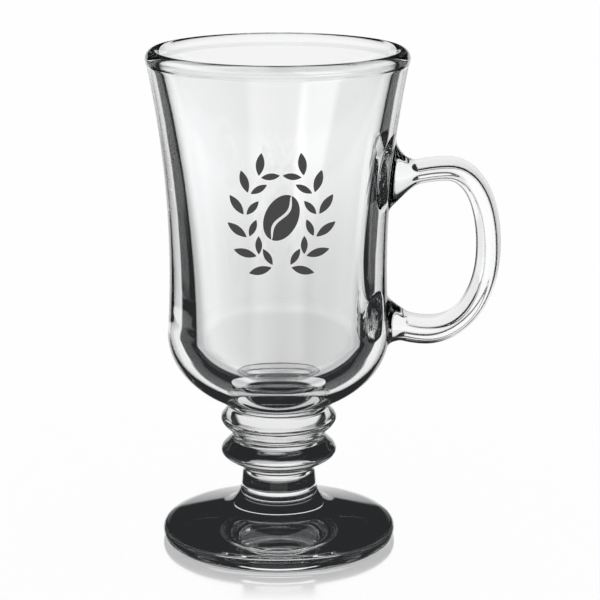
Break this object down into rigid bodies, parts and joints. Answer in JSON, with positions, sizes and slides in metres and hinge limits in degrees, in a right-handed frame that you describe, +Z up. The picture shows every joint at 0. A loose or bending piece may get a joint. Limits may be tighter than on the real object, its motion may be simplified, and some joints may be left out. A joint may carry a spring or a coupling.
{
  "type": "footed glass mug",
  "caption": "Clear footed glass mug for hot coffee drinks: tall flared bowl, knopped stem, round foot, ear handle and a small dark print on the front.",
  "frame": {"origin": "centre of the resting plane under the foot, on the mug's axis", "axes": "+Z up along the mug's axis, +X towards the handle, -Y towards the front with the print"},
  "size_m": [0.1006, 0.0742, 0.143],
  "materials": {
    "clear_glass": "clear, fire-polished",
    "dark_enamel": "opaque satin print"
  },
  "bodies": {
    "root": {"rim": "clear_glass", "bowl": "clear_glass", "upper_knop": "clear_glass", "lower_knop": "clear_glass", "stem": "clear_glass", "foot": "clear_glass", "handle_upper_root": "clear_glass", "handle_grip": "clear_glass", "handle_lower_root": "clear_glass", "front_print": "dark_enamel"}
  },
  "joints": []
}
